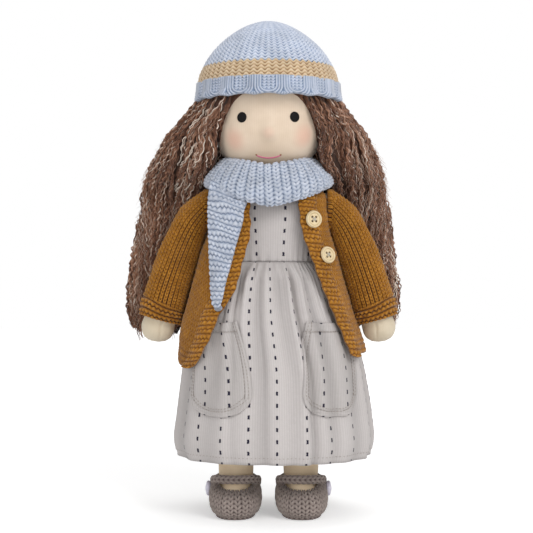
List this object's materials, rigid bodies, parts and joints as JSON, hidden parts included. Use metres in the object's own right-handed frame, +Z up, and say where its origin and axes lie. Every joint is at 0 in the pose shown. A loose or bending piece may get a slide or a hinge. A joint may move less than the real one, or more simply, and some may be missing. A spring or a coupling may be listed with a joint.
{
  "type": "cloth doll",
  "caption": "Standing stuffed cloth doll with long hair in a knitted hat, scarf and cardigan, a gathered dress with patch pockets and strapped shoes.",
  "frame": {"origin": "on the floor, midway between the two shoes, under the middle of the doll's outline", "axes": "+Z up, the doll faces -Y, and its own left side is +X"},
  "size_m": [0.236, 0.142, 0.4004],
  "materials": {
    "jersey": "fine cream cotton jersey, matt",
    "wool": "loose carded wool filling, not seen",
    "thread": "plain sewing thread",
    "eye": "black, domed, satin gloss",
    "mouth": "pink embroidery thread",
    "hair": "crimped brown mohair yarn with pale glints",
    "blue_knit": "light blue knitted yarn",
    "peach_knit": "peach knitted yarn",
    "cotton": "pale greige woven cotton with black dashed lines",
    "ochre_knit": "ochre knitted yarn",
    "wood": "pale wood, oiled",
    "crochet": "taupe crocheted yarn",
    "lilac": "pale lilac, satin"
  },
  "bodies": {
    "torso": {"torso_skin": "jersey", "torso_filling": "wool", "scarf_wrap": "blue_knit", "scarf_tail": "blue_knit", "dress_bodice": "cotton", "dress_skirt_front": "cotton", "dress_skirt_back": "cotton", "dress_pocket_left": "cotton", "dress_pocket_right": "cotton", "cardigan_back": "ochre_knit", "cardigan_front_left": "ochre_knit", "cardigan_front_right": "ochre_knit", "cardigan_band_left": "ochre_knit", "cardigan_band_right": "ochre_knit", "cardigan_button_upper": "wood", "cardigan_button_lower": "wood"},
    "head": {"head_skin": "jersey", "head_core": "wool", "neck_tie": "thread", "mouth_stitch": "mouth", "eye_left": "eye", "eye_right": "eye", "hair_cap": "hair", "hair_back": "hair", "hair_left": "hair", "hair_right": "hair"},
    "hat": {"hat_crown": "blue_knit", "hat_stripe": "peach_knit", "hat_brim": "blue_knit"},
    "arm_left": {"arm_skin_left": "jersey", "arm_filling_left": "wool", "cardigan_sleeve_left": "ochre_knit", "cardigan_cuff_left": "ochre_knit"},
    "leg_left": {"leg_skin_left": "jersey", "leg_filling_left": "wool", "shoe_sole_left": "crochet", "shoe_upper_left": "crochet", "shoe_strap_left": "crochet", "shoe_button_left": "lilac"},
    "arm_right": {"arm_skin_right": "jersey", "arm_filling_right": "wool", "cardigan_sleeve_right": "ochre_knit", "cardigan_cuff_right": "ochre_knit"},
    "leg_right": {"leg_skin_right": "jersey", "leg_filling_right": "wool", "shoe_sole_right": "crochet", "shoe_upper_right": "crochet", "shoe_strap_right": "crochet", "shoe_button_right": "lilac"}
  },
  "joints": [
    {"name": "head_turn", "type": "hinge", "parent": "torso", "child": "head", "pos_m": [0, 0, 0.267], "axis": [0, 0, 1], "range_deg": [-30, 30], "deforming": ["hair_left", "hair_right", "hair_back"]},
    {"name": "hat_lift", "type": "slide", "parent": "head", "child": "hat", "axis": [0, 0, 1], "range_m": [0, 0.08]},
    {"name": "shoulder_left", "type": "hinge", "parent": "torso", "child": "arm_left", "pos_m": [0.0508, 0, 0.245], "axis": [-1, 0, 0], "range_deg": [-15, 80], "deforming": ["hair_left"]},
    {"name": "shoulder_right", "type": "hinge", "parent": "torso", "child": "arm_right", "pos_m": [-0.0508, 0, 0.245], "axis": [-1, 0, 0], "range_deg": [-15, 80], "deforming": ["hair_right"]},
    {"name": "hip_left", "type": "hinge", "parent": "torso", "child": "leg_left", "pos_m": [0.0265, 0, 0.1567], "axis": [-1, 0, 0], "range_deg": [-18, 18]},
    {"name": "hip_right", "type": "hinge", "parent": "torso", "child": "leg_right", "pos_m": [-0.0265, 0, 0.1567], "axis": [-1, 0, 0], "range_deg": [-18, 18]}
  ]
}
